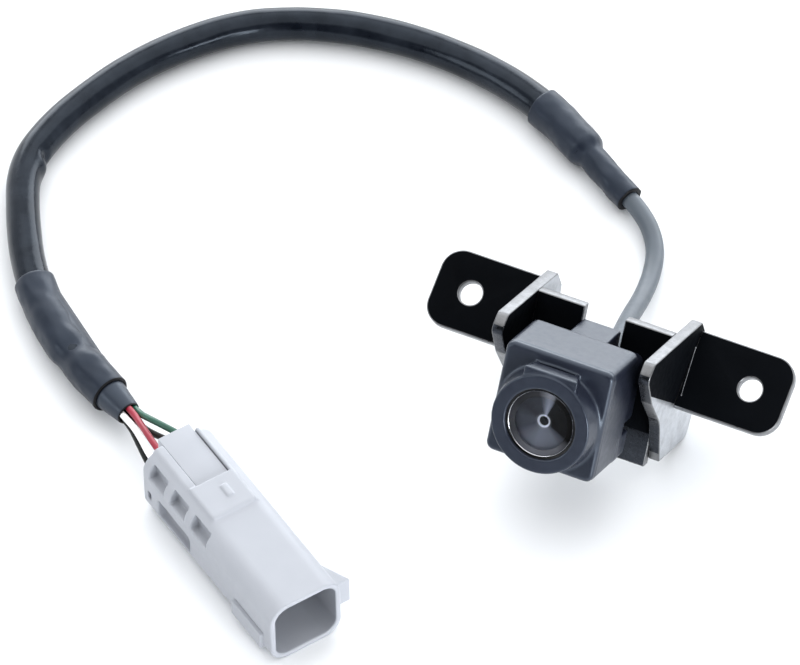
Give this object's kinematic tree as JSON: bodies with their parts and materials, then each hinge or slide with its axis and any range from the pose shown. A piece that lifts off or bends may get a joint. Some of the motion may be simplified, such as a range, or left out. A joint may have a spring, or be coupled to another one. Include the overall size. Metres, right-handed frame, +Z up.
{
  "type": "backup camera",
  "caption": "Small rear-view camera in a black steel bracket with bolt-on wings, and a sleeved lead that ends in a grey multi-way connector.",
  "frame": {"origin": "centre of the bottom of the bracket and camera's bounding box, on the surface that the bracket's rear corners rest on", "axes": "+X along the mounting wings, -Y the way the lens looks (and 28 degrees upwards), +Z up"},
  "size_m": [0.1949, 0.1791, 0.0461],
  "materials": {
    "bracket": "satin black coating with bare zinc-coloured edges",
    "housing": "satin moulded",
    "seal": "matt",
    "window": "polished",
    "black_ring": "gloss",
    "bright_ring": "turned",
    "barrel": "matt",
    "lens_glass": "coated",
    "chip": "gloss",
    "circuit_board": "solder mask",
    "header": "moulded",
    "screw": "zinc",
    "lead": "insulation",
    "cable_jacket": "satin",
    "heat_shrink": "satin, slightly wrinkled",
    "sleeve": "glossy soft tube",
    "inner_sleeve": "satin",
    "wire_white": "insulation",
    "wire_red": "insulation",
    "wire_brown": "insulation",
    "wire_green": "insulation",
    "wire_black": "insulation",
    "connector": "satin moulded",
    "terminal": "tin plated"
  },
  "bodies": {
    "camera_and_lead": {"bracket_back_plate": "bracket", "bracket_side_left": "bracket", "bracket_side_right": "bracket", "bracket_wing_left": "bracket", "bracket_wing_right": "bracket", "front_housing": "housing", "rear_housing": "housing", "housing_seal": "seal", "window_seal": "seal", "cable_grommet": "seal", "front_window": "window", "lens_retaining_ring": "black_ring", "lens_trim_ring": "bright_ring", "lens_baffle": "black_ring", "lens_barrel": "barrel", "lens_element_front": "lens_glass", "lens_spacer": "barrel", "lens_element_rear": "lens_glass", "infrared_filter": "lens_glass", "lens_holder": "black_ring", "image_sensor": "chip", "sensor_board": "circuit_board", "board_connector": "header", "video_board": "circuit_board", "cable_header": "header", "board_screws": "screw", "housing_screws": "screw", "bracket_screws": "screw", "internal_leads": "lead", "camera_cable": "cable_jacket", "heat_shrink_camera_end": "heat_shrink", "cable_sleeve": "sleeve", "heat_shrink_connector_end": "heat_shrink", "inner_sleeve": "inner_sleeve", "wire_white": "wire_white", "wire_red": "wire_red", "wire_brown": "wire_brown", "wire_green": "wire_green", "wire_black": "wire_black", "connector_housing": "connector", "wire_terminals": "terminal"},
    "terminal_lock": {"terminal_lock": "connector"}
  },
  "joints": [
    {"name": "terminal_lock_slide", "type": "slide", "parent": "camera_and_lead", "child": "terminal_lock", "axis": [-0.8457, 0.5336, 0], "range_m": [0, 0.0018]}
  ]
}
